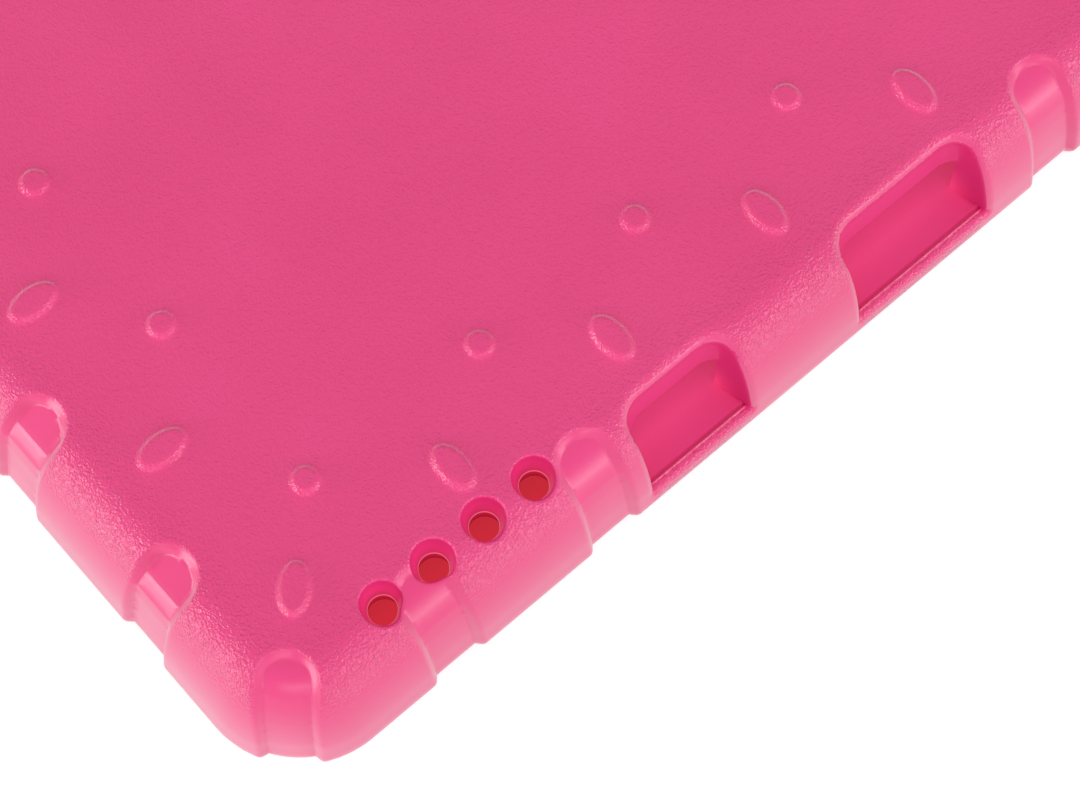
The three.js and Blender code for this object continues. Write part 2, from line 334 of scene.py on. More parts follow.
OVAL_SLOPE = 1.25
DOT_SLOPE = 1.15
BUMP_ROWS = [-0.05, 0.13, 0.31, 0.49, 0.67, 0.85, 1.03, 1.25]
BUMP_STEPS = 40


def bump_height(plan):
    """Height of the bumps: a steep edge of the same width all round, then a flat top."""
    height = np.zeros(len(plan))
    for centre, outward in ovals:
        across = np.array([-outward[1], outward[0]])
        offset = np.column_stack([(plan - centre) @ outward, (plan - centre) @ across])
        far = np.linalg.norm(offset / OVAL_HALF, axis=1)
        radius = far / np.maximum(np.linalg.norm(offset / OVAL_HALF ** 2, axis=1), 1e-9)
        inside = (1 - far) * np.clip(radius, OVAL_HALF[1], OVAL_HALF[0])
        height = np.maximum(height, OVAL_HEIGHT * smooth(inside / OVAL_SLOPE))
    for centre in dots:
        inside = DOT_RADIUS - np.linalg.norm(plan - centre, axis=1)
        height = np.maximum(height, DOT_HEIGHT * smooth(inside / DOT_SLOPE))
    return height


def bump_rows():
    """Rings of points on the edges of the bumps, so that they stay round."""
    angle = np.linspace(0, 2 * math.pi, BUMP_STEPS, endpoint=False)
    round_ring = np.column_stack([np.cos(angle), np.sin(angle)])
    rows = []
    for inside in BUMP_ROWS:
        for centre, outward in ovals:
            across = np.array([-outward[1], outward[0]])
            long_way = np.outer(OVAL_HALF[0] * np.cos(angle), outward)
            short_way = np.outer(OVAL_HALF[1] * np.sin(angle), across)
            ring = centre + (long_way + short_way)
            rows.append(rolled_out(outset(ring, np.full(BUMP_STEPS, -inside))))
        for centre in dots:
            rows.append(centre + (DOT_RADIUS - inside) * round_ring[::2])
    return rows


# The pocket inside is the tablet's own shape. It is rolled out flat in the same way: the inner face of
# the back, then the side wall, then the first strip of the lip's inner face.
SIDE_WALL = 7.0
BACK_WALL = 6.0
FRONT_LIP = 5.5
LIP_STRIP = 1.2
pocket_level = back_level - BACK_WALL
wall_height = pocket_level - FRONT_LIP
pocket_radius = CORNER_RADIUS - SIDE_WALL


def pocket(flat):
    """Points of the pocket's inside for points on its rolled-out sheet."""
    core = np.clip(flat, -core_half, core_half)
    away = flat - core
    distance = np.linalg.norm(away, axis=1)
    run = np.maximum(distance - pocket_radius, 0)
    reach = np.minimum(distance, pocket_radius) - np.maximum(run - wall_height, 0)
    height = pocket_level - np.minimum(run, wall_height)
    return np.column_stack([core + away / np.maximum(distance, 1e-9)[:, None] * reach[:, None], height])


def circle(centre, radius, steps):
    angle = np.linspace(0, 2 * math.pi, steps, endpoint=False)
    return centre + radius * np.column_stack([np.cos(angle), np.sin(angle)])


def stadium(centre, size, steps):
    radius = size[1] / 2
    angle = np.linspace(-math.pi / 2, math.pi / 2, steps // 2)
    right = np.column_stack([size[0] / 2 - radius + radius * np.cos(angle), radius * np.sin(angle)])
    return centre + np.vstack([right, -right])


# Each opening has its mouth on the outside and its throat in the pocket, point for point, both on the
# rolled-out sheets, and the radius of its rounded edge at each point. Rows are shares of the way from
# the mouth to the throat. A thin ring stands part way down each speaker hole, at its waist.
SPEAKER_HOLES = 4
SPEAKER_START = 25.35
SPEAKER_PITCH = 8.75
SPEAKER_INSET = 9.05
SPEAKER_MOUTH = 3.0
SPEAKER_THROAT = 2.3
SPEAKER_EDGE = 0.5
SPEAKER_STEPS = 40
STRIP_GRAIN = 0.8
CAMERA_EDGE = 1.2
CAMERA_TAPER = 1
CAMERA_STEPS = 72
END_EDGE = 2.4
WALL_EDGE = 1.2
FLOOR_EDGE = 1.0
STRAIGHT_WALL_ROWS = [0, 0.15, 0.4, 0.7, 1]
SPEAKER_ROWS = [0, 0.08, 0.2, 0.35, 0.5, 0.54, 0.56, 0.58, 0.62, 0.8, 1]
SPEAKER_RING = [0.54, 0.56, 0.58]
CLIMB_STEPS = 26
ARC_STEPS = 12
END_STEPS = 20
FLOOR_STEPS = 40
PAST_WALL = 0.2
END_EDGE_FROM = 3.5
END_EDGE_OVER = 3.5
FLOOR_ROWS = [
    0, 0.03, 0.06, 0.09, 0.12, 0.14, 0.16, 0.18, 0.2, 0.22, 0.24, 0.26, 0.28, 0.3, 0.34, 0.42, 0.55, 0.75, 1,
]

openings = []
for k in range(SPEAKER_HOLES):
    centre = np.array([SPEAKER_START + k * SPEAKER_PITCH, SPEAKER_INSET]) - half_size
    openings.append({
        "mouth": rolled_out(circle(centre, SPEAKER_MOUTH, SPEAKER_STEPS)),
        "throat": circle(centre, SPEAKER_THROAT, SPEAKER_STEPS),
        "edge": np.full(SPEAKER_STEPS, SPEAKER_EDGE), "rows": SPEAKER_ROWS, "floor": None,
    })
openings.append({
    "mouth": rolled_out(stadium(camera_middle, CAMERA_SIZE, CAMERA_STEPS)),
    "throat": stadium(camera_middle, CAMERA_SIZE - CAMERA_TAPER, CAMERA_STEPS),
    "edge": np.full(CAMERA_STEPS, CAMERA_EDGE), "rows": STRAIGHT_WALL_ROWS, "floor": None,
})

wall_corner = NOTCH_CORNER - math.sqrt(NOTCH_CORNER ** 2 - (NOTCH_CORNER - NOTCH_REACH + SIDE_WALL) ** 2)
lip_run = np.interp(-FRONT_LIP, -profile[:, 1], profile_run)
floor_run = wall_height + PAST_WALL
shoulder_inset, shoulder_run = profile[:SHOULDER_STEPS, 0], profile_run[:SHOULDER_STEPS]
corner_run = np.interp(NOTCH_CORNER - NOTCH_REACH, -shoulder_inset, shoulder_run)
for notch in notches:
    side, width = notch["side"], notch["width"]
    # The mouth climbs from the lip up the shoulder, round a corner, along the end and back down
    angle = np.linspace(0, math.pi / 2, ARC_STEPS + 1)[1:]
    arc_along = NOTCH_CORNER * (1 - np.cos(angle))
    arc_inset = NOTCH_REACH - NOTCH_CORNER * (1 - np.sin(angle))
    arc_run = np.interp(-arc_inset, -shoulder_inset, shoulder_run)
    climb_along = np.concatenate([np.zeros(CLIMB_STEPS), arc_along])
    climb_run = np.concatenate([np.linspace(lip_run, corner_run, CLIMB_STEPS), arc_run])
    end_along = np.linspace(NOTCH_CORNER, width - NOTCH_CORNER, END_STEPS + 2)[1:-1]
    end_run = np.full(END_STEPS, arc_run[-1])
    floor_along = np.linspace(width, 0, FLOOR_STEPS + 2)[1:-1]
    along = np.concatenate([climb_along, end_along, width - climb_along[::-1], floor_along])
    run = np.concatenate([climb_run, end_run, climb_run[::-1], np.full(FLOOR_STEPS, lip_run)])

    # The throat does the same up the pocket's wall and on to its top
    in_wall = arc_inset < SIDE_WALL
    climb_count = CLIMB_STEPS + np.count_nonzero(in_wall)
    wall_run = floor_run - np.linspace(0, 1, climb_count) * floor_run
    inner_run = np.concatenate([wall_run, SIDE_WALL - arc_inset[~in_wall]])
    inner_along = np.concatenate([np.full(climb_count, wall_corner), arc_along[~in_wall]])
    inner_end = np.full(END_STEPS, inner_run[-1])
    inner_floor = np.linspace(width - wall_corner, wall_corner, FLOOR_STEPS + 2)[1:-1]
    throat_along = np.concatenate([inner_along, end_along, width - inner_along[::-1], inner_floor])
    throat_run = np.concatenate([inner_run, inner_end, inner_run[::-1], np.full(FLOOR_STEPS, floor_run)])

    depth = abs(side["edge"] @ side["normal"])
    is_floor = np.zeros(len(along))
    is_floor[-FLOOR_STEPS:] = 1
    ends = smooth((np.interp(run, profile_run, profile[:, 0]) - END_EDGE_FROM) / END_EDGE_OVER)
    along = along + notch["start"]
    throat_along = throat_along + notch["start"]
    mouth_reach = run + depth - SHOULDER_WIDTH
    throat_reach = throat_run + depth - SIDE_WALL
    openings.append({
        "mouth": np.outer(along, side["along"]) + np.outer(mouth_reach, side["normal"]),
        "throat": np.outer(throat_along, side["along"]) + np.outer(throat_reach, side["normal"]),
        "edge": WALL_EDGE + (END_EDGE - WALL_EDGE) * ends + (FLOOR_EDGE - WALL_EDGE) * is_floor,
        "rows": FLOOR_ROWS, "floor": is_floor,
    })


def outline_distance(points, outline):
    """Distance of points from a closed outline, the nearest place on it, and whether they are inside."""
    start = outline
    step = np.roll(outline, -1, axis=0) - outline
    offset = points[:, None, :] - start[None, :, :]
    share = np.clip(np.sum(offset * step, axis=2) / np.maximum(np.sum(step * step, axis=1), 1e-12), 0, 1)
    gap = np.linalg.norm(offset - share[:, :, None] * step, axis=2)
    nearest = np.argmin(gap, axis=1)
    end = start + step
    crosses = (start[:, 1] > points[:, 1:2]) != (end[:, 1] > points[:, 1:2])
    rise = np.where(step[:, 1] == 0, 1e-12, step[:, 1])
    meet = start[:, 0] + (points[:, 1:2] - start[:, 1]) / rise * step[:, 0]
    inside = np.count_nonzero(crosses & (points[:, 0:1] < meet), axis=1) % 2 == 1
    row = np.arange(len(points))
    return gap[row, nearest], nearest + share[row, nearest], inside


def near(points, outline, margin):
    """Which points lie in the outline's box, with that margin all round."""
    low, high = outline.min(axis=0) - margin, outline.max(axis=0) + margin
    return np.flatnonzero(np.all((points > low) & (points < high), axis=1))


# Where the rounded edges reach to and the mould's grain comes in and fades out, in millimetres. What
# the back takes off the grain is a share of it, and the grooves' two values are shares of their depth.
EDGE_REACH = 4.0
STRIP_WIDTH = 3
ROUNDED_OVER = 3
GRAIN_FROM = 1.8
GRAIN_OVER = 3
GRAIN_FULL = 7.5
GRAIN_FADES_OVER = 13
GRAIN_LOST_ON_BACK = 0.72
GROOVE_SMOOTH_FROM = 0.02
GROOVE_SMOOTH_OVER = 0.2
EDGE_SMOOTH_AT = 0.6


def dressed_outside(flat):
    """Points of the finished outside with its grooves, bumps and rounded edges, and its amount of grain."""
    points, outward = outside(flat)
    plan = points[:, :2]
    run = np.maximum(reach_from_core(flat) - FLAT_RADIUS, 0)
    in_groove = groove_share(plan, run)
    at_front = points[:, 2] < FRONT_EDGE
    inward = -outward
    level_inward = inward * (1, 1, 0)
    inward[at_front] = level_inward[at_front]
    inward /= np.maximum(np.linalg.norm(inward, axis=1), 1e-9)[:, None]
    sink = np.zeros(len(flat))
    at_strip = np.zeros(len(flat))
    for opening in openings:
        close = near(flat, opening["mouth"], EDGE_REACH)
        gap, nearest, inside = outline_distance(flat[close], opening["mouth"])
        gap = np.where(inside | (gap < 1e-3), 0, gap)
        closed_edge = np.append(opening["edge"], opening["edge"][0])
        edge = np.interp(nearest, np.arange(len(closed_edge)), closed_edge)
        rounded_off = edge - np.sqrt(edge ** 2 - np.clip(edge - gap, 0, edge) ** 2)
        sink[close] = np.maximum(sink[close], rounded_off)
        if opening["floor"] is not None:
            on_floor = opening["floor"][np.minimum(nearest.astype(int), len(opening["floor"]) - 1)]
            strip_here = STRIP_GRAIN * on_floor * smooth(STRIP_WIDTH - gap)
            at_strip[close] = np.maximum(at_strip[close], strip_here)
    past_core = np.abs(plan) - core_half
    at_corner = smooth((np.min(past_core, axis=1) + ROUNDED_OVER) / ROUNDED_OVER)
    rounded = np.maximum(at_corner, ROUNDED_ON_LONG_SIDES * smooth(past_core[:, 1] / ROUNDED_OVER))
    faceted = np.interp(run, profile_run, floor_depth)
    deep = in_groove * (faceted + rounded * (GROOVE_DEPTH - faceted))
    points = points + outward * (bump_height(plan) - sink)[:, None] + inward * deep[:, None]
    inset = CORNER_RADIUS - reach_from_core(plan)
    on_back = smooth((inset - GRAIN_FULL) / GRAIN_FADES_OVER)
    grain = smooth((inset - GRAIN_FROM) / GRAIN_OVER) * (1 - GRAIN_LOST_ON_BACK * on_back)
    grain *= 1 - smooth((in_groove - GROOVE_SMOOTH_FROM) / GROOVE_SMOOTH_OVER)
    grain *= 1 - smooth(sink / EDGE_SMOOTH_AT)
    grain = np.maximum(grain, at_strip)
    return points, grain


RIM_CORNER_STEPS = 17
RIM_LONG_STEPS = 80
RIM_SHORT_STEPS = 50


def rim_loop(inset, radius):
    """Points round a rounded rectangle that lies that far in from the outer edge; every loop has as many."""
    corner = half_size - inset - radius
    angle = np.linspace(0, math.pi / 2, RIM_CORNER_STEPS)
    quarter = radius * np.column_stack([np.cos(angle), np.sin(angle)])
    points = []
    for turn, sign in enumerate([(1, 1), (-1, 1), (-1, -1), (1, -1)]):
        spin = turn * math.pi / 2
        rotation = np.array([[math.cos(spin), math.sin(spin)], [-math.sin(spin), math.cos(spin)]])
        arc = quarter @ rotation + corner * sign
        next_sign = [(-1, 1), (-1, -1), (1, -1), (1, 1)][turn]
        next_start = quarter[0] @ rotation @ np.array([[0, 1], [-1, 0]]) + corner * next_sign
        steps = RIM_LONG_STEPS if turn % 2 == 0 else RIM_SHORT_STEPS
        share = np.linspace(0, 1, steps)[1:-1, None]
        points += [arc, arc[-1] * (1 - share) + next_start * share]
    return np.vstack(points)


def outset(outline, gap):
    """The same closed outline, moved outward by a gap that is given at each of its points."""
    ahead, behind = np.roll(outline, -1, axis=0), np.roll(outline, 1, axis=0)
    area = np.sum(outline[:, 0] * ahead[:, 1] - outline[:, 1] * ahead[:, 0])
    tangent = (ahead - behind) / np.linalg.norm(ahead - behind, axis=1)[:, None]
    outward = np.column_stack([tangent[:, 1], -tangent[:, 0]]) * np.sign(area)
    return outline + outward * np.asarray(gap)[:, None]


ROW_HEIGHT = 0.866
ROWS_IN_A_SPACING = 1.155
BORDER_ROOM = 0.4


def lattice(reach, spacing, level_of):
    """Points over the sheet, closer together where level_of asks for it: level 0 is the finest."""
    limit = core_half + reach
    columns, rows = np.ceil(limit / spacing * [1, ROWS_IN_A_SPACING]).astype(int)
    i, j = np.meshgrid(np.arange(-columns, columns + 1), np.arange(-rows, rows + 1))
    i, j = i.ravel(), j.ravel()
    points = np.column_stack([(i + 0.5 * (j % 2)) * spacing, j * spacing * ROW_HEIGHT])
    kept = reach_from_core(points) < reach - BORDER_ROOM * spacing
    points, i, j = points[kept], i[kept], j[kept]
    step = 2 ** level_of(points)
    kept = (i % step == 0) & (j % step == 0)
    return points[kept]


OUTLINE_SEARCH = 1.0


def outside_openings(points, outlines, margin):
    """The points that lie outside all outlines, and at least that margin away from them."""
    kept = np.ones(len(points), bool)
    for outline in outlines:
        close = near(points, outline, OUTLINE_SEARCH)
        gap, _, inside = outline_distance(points[close], outline)
        kept[close] &= (gap > margin) & ~inside
    return points[kept]


GUIDE_ROOM = 0.3
GUIDE_SEARCH = 0.4
OUTLINE_ROOM = 0.25
HOLE_SEARCH = 0.1
SAME_POINT = 1e-7


def sheet(border, outlines, guides, filling):
    """Vertices and triangles of a flat sheet with a border and holes, through guides and filling."""
    free = np.ones(len(filling), bool)
    for guide in guides:
        close = near(filling, guide, GUIDE_SEARCH)
        gap = np.min(np.linalg.norm(filling[close][:, None] - guide, axis=2), axis=1)
        free[close] &= gap > GUIDE_ROOM
    filling = outside_openings(filling[free], outlines, OUTLINE_ROOM)
    edges = []
    first = 0
    for loop in [border, *outlines]:
        edges += [(first + k, first + (k + 1) % len(loop)) for k in range(len(loop))]
        first += len(loop)
    given = np.vstack([border, *outlines, *guides, filling])
    result = delaunay_2d_cdt([Vector(point) for point in given], edges, [], 0, SAME_POINT, False)
    flat = np.array([tuple(point) for point in result[0]])
    for k, sources in enumerate(result[3]):
        if sources:
            flat[k] = given[min(sources)]
    faces = np.array(result[2])
    middle = flat[faces].mean(axis=1)
    kept = np.ones(len(faces), bool)
    for outline in outlines:
        close = near(middle, outline, HOLE_SEARCH)
        _, _, inside = outline_distance(middle[close], outline)
        kept[close] &= ~inside
    return flat, faces[kept]


OUTER_SPACING = 0.5
COARSE_FROM = 33
GROOVE_LINE = -0.3
GROOVE_LINE_HALF = 1.2
OPENING_FINE = 2.5


def detail_level(flat):
    """How coarse the outside's lattice may be: fine at the grooves' walls, bumps and openings."""
    points, _ = outside(flat)
    plan = points[:, :2]
    inset = CORNER_RADIUS - reach_from_core(plan)
    level = np.where(inset < SHOULDER_WIDTH + 1, 1, np.where(inset < COARSE_FROM, 2, 3))
    level[np.abs(groove_distance(plan) - GROOVE_LINE) < GROOVE_LINE_HALF] = 0
    level[bump_height(plan) > 0] = 0
    for opening in openings:
        level[near(flat, opening["mouth"], OPENING_FINE)] = 0
    return level


# Each surface has its points and faces, then grain, painted glow and the glow's hue at each point, and 1 for
# the faces that have the inside's skin. Those next to a mouth have it too, over that share of its rounded
# edge.
EDGE_ROWS = [0.06, 0.2, 0.45, 0.75, 1.05]
ROW_ROOM = 0.4
TURNED_IN = 0.22
TURNED_IN_SEARCH = 0.6
surfaces = []

rings = []
for opening in openings:
    for share in EDGE_ROWS:
        rings.append(outset(opening["mouth"], share * opening["edge"]))
mouths = [opening["mouth"] for opening in openings]
rows = bump_rows()
for groove in grooves:
    rows += groove_rows(groove)
for row in rows:
    rings.append(outside_openings(row, mouths, ROW_ROOM))
rings = [ring for ring in rings if len(ring)]
outer_border = rim_loop(SHOULDER_WIDTH - side_run, FLAT_RADIUS + side_run)
outer_filling = lattice(FLAT_RADIUS + side_run, OUTER_SPACING, detail_level)
outer_flat, outer_faces = sheet(outer_border, mouths, rings, outer_filling)
outer_points, outer_grain = dressed_outside(outer_flat)
no_glow = np.zeros(len(outer_points))
turned_in = np.zeros(len(outer_faces))
face_middle = outer_flat[outer_faces].mean(axis=1)
for opening in openings:
    close = near(face_middle, opening["mouth"], TURNED_IN_SEARCH)
    gap, nearest, _ = outline_distance(face_middle[close], opening["mouth"])
    edge = np.append(opening["edge"], opening["edge"][0])[nearest.astype(int)]
    level_floor = 0 if opening["floor"] is None else np.append(opening["floor"], 0)[nearest.astype(int)]
    turned_in[close] = np.maximum(turned_in[close], (gap < TURNED_IN * edge) * (1 - level_floor))
surfaces.append((outer_points, outer_faces, outer_grain, no_glow, no_glow, turned_in))


# Inside of the case shell
# The same moulding goes on inside as the pocket that grips the tablet, and turns in at the front as
# a lip that slopes down to the screen. Speaker holes and notches are moulded through its walls.
folds = [pocket_radius, pocket_radius + wall_height]
# Hues of the painted glow that stands in for light bounced inside the pocket. PALE is a painted highlight.
CRIMSON, PINK, PALE = 0.0, 0.5, 1.0
PAINTED_GLOW_DEEP = 0.88
PAINTED_GLOW_LESS_AT_NOTCH = 0.08
NOTCH_GLOW_REACH = 7
NOTCH_GLOW_FULL = 1.3


def painted_pocket_glow(points):
    """How strong the pocket's painted glow is at each point, and its hue: crimson, or pink near a notch."""
    close = np.zeros(len(points))
    for notch in notches:
        side = notch["side"]
        along = points[:, :2] @ side["along"] - notch["start"]
        beside = np.abs(along - notch["width"] / 2) - notch["width"] / 2
        depth = np.abs(side["edge"] @ side["normal"]) - points[:, :2] @ side["normal"] - NOTCH_REACH
        far = np.hypot(np.maximum(beside, 0), np.maximum(depth, 0))
        close = np.maximum(close, smooth(NOTCH_GLOW_FULL - far / NOTCH_GLOW_REACH))
    level = smooth((pocket_level - points[:, 2]) / wall_height)
    return level * (PAINTED_GLOW_DEEP - PAINTED_GLOW_LESS_AT_NOTCH * close), PINK * close


INNER_SPACING = 0.7
FOLD_ROOM = 0.4
FINE_BEFORE_FOLD = 1.5
THROAT_FINE = 2.0
FOLD_SEARCH = 0.5
FOLD_END = 0.15


def pocket_filling():
    """Points that fill the pocket's sheet, clear of its folds and closer together at the openings."""
    def level_of(points):
        level = np.where(reach_from_core(points) > pocket_radius - FINE_BEFORE_FOLD, 1, 3)
        for opening in openings:
            level[near(points, opening["throat"], THROAT_FINE)] = 0
        return level

    points = lattice(folds[1] + LIP_STRIP, INNER_SPACING, level_of)
    reach = reach_from_core(points)
    clear = np.min(np.abs(reach[:, None] - np.array(folds)), axis=1) > FOLD_ROOM
    return points[clear]


def fold_row(radius):
    """Points along a fold, left out where an opening cuts through it."""
    row = rim_loop(CORNER_RADIUS - radius, radius)
    fine = np.vstack([row, (row + np.roll(row, -1, axis=0)) / 2])
    kept = np.ones(len(fine), bool)
    for opening in openings:
        close = near(fine, opening["throat"], FOLD_SEARCH)
        gap, _, inside = outline_distance(fine[close], opening["throat"])
        kept[close] &= (gap > FOLD_END) & ~inside
    return fine[kept]


throats = [opening["throat"] for opening in openings]
inner_border = rim_loop(SIDE_WALL - wall_height - LIP_STRIP, folds[1] + LIP_STRIP)
fold_points = np.vstack([fold_row(radius) for radius in folds])
inner_flat, inner_faces = sheet(inner_border, throats, [], np.vstack([fold_points, pocket_filling()]))
inner_points = pocket(inner_flat)
# The pocket gets a painted glow that stands in for light bounced inside it.
inner_glow, inner_hue = painted_pocket_glow(inner_points)
POCKET_GRAIN = 0.12
inner_grain = np.full(len(inner_points), POCKET_GRAIN)
surfaces.append((inner_points, inner_faces[:, ::-1], inner_grain, inner_glow, inner_hue, 1))

# The lip is a ring of strips between rounded rectangles, each given as (inset, height, corner radius)
LIP_GRAIN = 0.3
LIP_OVERLAP = 7.5
LIP_EDGE = 3.0
LIP_SLOPE_WIDTH = 5.0
POCKET_STRIPS = 3
WINDOW_RADIUS = 6.0
window = SIDE_WALL + LIP_OVERLAP
edge_level = FRONT_LIP - LIP_EDGE
lip_start = SIDE_WALL + LIP_STRIP
slope_end = window - LIP_SLOPE_WIDTH
lip_sections = [
    (lip_start, FRONT_LIP, CORNER_RADIUS - lip_start),
    (window - 3, FRONT_LIP, WINDOW_RADIUS + 2), (window - 0.8, FRONT_LIP, WINDOW_RADIUS + 0.8),
    (window - 0.25, FRONT_LIP - 0.2, WINDOW_RADIUS + 0.25), (window, FRONT_LIP - 0.8, WINDOW_RADIUS),
    (window, edge_level + 0.7, WINDOW_RADIUS), (window - 0.2, edge_level + 0.2, WINDOW_RADIUS + 0.2),
    (window - 0.8, edge_level - 0.3, WINDOW_RADIUS + 0.8), (slope_end + 0.8, 0.35, WINDOW_RADIUS + 4.2),
    (slope_end, 0.05, WINDOW_RADIUS + 5), (slope_end - 1, 0, WINDOW_RADIUS + 5.5),
    (FRONT_EDGE + 2.2, 0, CORNER_RADIUS - FRONT_EDGE - 2.2),
]


def strip(loops):
    """Points and faces that join closed loops of as many points each, one to the next."""
    count = len(loops[0])
    k = np.arange(count)
    after = (k + 1) % count
    faces = []
    for row in range(len(loops) - 1):
        quad = np.column_stack([k, after, after + count, k + count]) + row * count
        faces.append(quad)
    return np.vstack(loops), np.vstack(faces)


lip_loops = []
for inset, level, radius in lip_sections:
    plan = rim_loop(inset, radius)
    lip_loops.append(np.column_stack([plan, np.full(len(plan), level)]))
lip_loops.append(dressed_outside(outer_border)[0])
lip_points, lip_faces = strip(lip_loops)
# The strips inside the pocket get the same painted glow, and the rest of the lip gets none.
lip_glow, lip_hue = painted_pocket_glow(lip_points)
lip_glow[POCKET_STRIPS * len(inner_border):] = 0
in_pocket = np.arange(len(lip_faces)) < POCKET_STRIPS * len(inner_border)
surfaces.append((lip_points, lip_faces, np.full(len(lip_points), LIP_GRAIN), lip_glow, lip_hue, in_pocket))

# Walls of the openings; a thin bead and a crease run along the floor of each notch
BEAD_MIDDLE = 1.5
BEAD_HALF = 0.32
BEAD_HEIGHT = 0.4
CREASE_DEPTH = 0.3
BEAD_ROWS = 4
STRIP_EDGE = 0.2
RING_SHARE = 0.56
RING_END = 0.62
RING_NARROWING = 0.53
# Painted light in the openings: a painted glow on the speaker holes' walls and the notches' floors, and a
# pale painted highlight on the ring at each speaker hole's waist.
RING_PAINTED_HIGHLIGHT = 0.8
HOLE_GLOW = 0.3
HOLE_GLOW_FROM = 0.3
HOLE_GLOW_END = 0.2
HOLE_PINK_ABOVE = 0.6
FLOOR_GLOW = 0.3
FLOOR_GLOW_INSIDE = 0.5
FLOOR_GLOW_EDGE = 0.3
for opening in openings:
    mouth, _ = dressed_outside(opening["mouth"])
    throat = pocket(opening["throat"])
    # The walls take the pocket's painted glow, which grows towards the throat.
    throat_glow, throat_hue = painted_pocket_glow(throat)
    loops = []
    wall_grain = []
    wall_glow = []
    wall_hue = []
    for share in opening["rows"]:
        loop = mouth * (1 - share) + throat * share
        loop_grain = np.zeros(len(loop))
        loop_glow = share ** 2 * throat_glow
        loop_hue = throat_hue
        if opening["rows"] is SPEAKER_ROWS:
            middle = loop.mean(axis=0)
            straight = SPEAKER_MOUTH + (SPEAKER_THROAT - SPEAKER_MOUTH) * share
            waist = np.interp(share, [0, RING_SHARE, RING_END, 1], [0, -RING_NARROWING, 0, 0])
            loop[:, :2] = middle[:2] + (loop - middle)[:, :2] * (1 + waist / straight)
            # In a speaker hole the wall gets its own painted glow, pink above and crimson below, and the
            # waist ring gets a pale painted highlight.
            painted_wall_glow = smooth(share / HOLE_GLOW_FROM) * smooth((1 - share) / HOLE_GLOW_END)
            on_ring = share in SPEAKER_RING
            loop_glow = np.full(len(loop), RING_PAINTED_HIGHLIGHT if on_ring else HOLE_GLOW * float(painted_wall_glow))
            wall_hue_here = PINK if share < HOLE_PINK_ABOVE else CRIMSON
            loop_hue = np.full(len(loop), PALE if on_ring else wall_hue_here)
        if opening["floor"] is not None:
            inset = CORNER_RADIUS - reach_from_core(loop[:, :2])
            bead = BEAD_HEIGHT * smooth(1 - np.abs(inset - BEAD_MIDDLE) / BEAD_HALF)
            crease = CREASE_DEPTH * smooth(1 - np.abs(inset - BEAD_MIDDLE - 2 * BEAD_HALF) / BEAD_HALF)
            loop[:, 2] += opening["floor"] * (bead - crease) * (share > 0)
            before_bead = smooth((BEAD_MIDDLE - BEAD_HALF - inset) / STRIP_EDGE)
            # On a notch floor, behind the bead, a pink painted glow grows towards the throat.
            behind_bead = smooth((inset - BEAD_MIDDLE - BEAD_HALF) / FLOOR_GLOW_EDGE)
            loop_grain = STRIP_GRAIN * opening["floor"] * before_bead
            floor_glow = (FLOOR_GLOW + FLOOR_GLOW_INSIDE * share ** 2) * behind_bead
            loop_glow = np.maximum(loop_glow, floor_glow * opening["floor"])
            loop_hue = np.full(len(loop), PINK)
        loops.append(loop)
        wall_grain.append(loop_grain)
        wall_glow.append(loop_glow)
        wall_hue.append(loop_hue)
    wall_points, wall_faces = strip(loops)
    wall_values = [np.concatenate(values) for values in [wall_grain, wall_glow, wall_hue]]
    wall_material = np.ones(len(wall_faces))
    if opening["floor"] is not None:
        wall_material[:BEAD_ROWS * len(mouth)] -= np.tile(opening["floor"], BEAD_ROWS)
    surfaces.append((wall_points, wall_faces, *wall_values, wall_material))

# All surfaces become one mesh, sewn together where their borders meet. These lengths are in metres.
SEAM = 2e-6
SMALLEST_EDGE = 1e-7
SHARP_ANGLE = math.radians(42)
vertices = []
faces = []
grain = []
glow = []
hue = []
material_of = []
first = 0
for points, polygons, grainy, glowing, tinted, material in surfaces:
    vertices.append(points * MILLIMETRE)
    faces += (polygons + first).tolist()
    grain.append(grainy)
    glow.append(glowing)
    hue.append(tinted)
    material_of.append(np.full(len(polygons), material, dtype=int))
    first += len(points)
shell_mesh = bpy.data.meshes.new("foam_shell")
shell_mesh.from_pydata(np.vstack(vertices).tolist(), [], faces)
for name, values in [("grain", grain), ("glow", glow), ("hue", hue)]:
    layer = shell_mesh.attributes.new(name, "FLOAT", "POINT")
    layer.data.foreach_set("value", np.concatenate(values))
shell_mesh.polygons.foreach_set("material_index", np.concatenate(material_of))
sewn = bmesh.new()
sewn.from_mesh(shell_mesh)
bmesh.ops.remove_doubles(sewn, verts=sewn.verts, dist=SEAM)
bmesh.ops.dissolve_degenerate(sewn, edges=sewn.edges, dist=SMALLEST_EDGE)
bmesh.ops.recalc_face_normals(sewn, faces=sewn.faces)
sewn.to_mesh(shell_mesh)
sewn.free()
shell_mesh.shade_smooth()
shell_mesh.set_sharp_from_angle(angle=SHARP_ANGLE)
foam_shell = bpy.data.objects.new("foam_shell", shell_mesh)
bpy.context.scene.collection.objects.link(foam_shell)


# Foam of the case shell
# Pink EVA with a satin skin. The mould's leather grain shows most on the shoulder and least in the
# grooves, which are smooth.
pink_foam = bpy.data.materials.new("pink_foam")
pink_foam.use_nodes = True
nodes = pink_foam.node_tree.nodes
links = pink_foam.node_tree.links
foam = nodes["Principled BSDF"]
foam.inputs["Roughness"].default_value = 0.3
foam.inputs["Specular IOR Level"].default_value = 0.8
foam.inputs["Sheen Weight"].default_value = 0.68
foam.inputs["Sheen Roughness"].default_value = 0.45
place = nodes.new("ShaderNodeTexCoord")

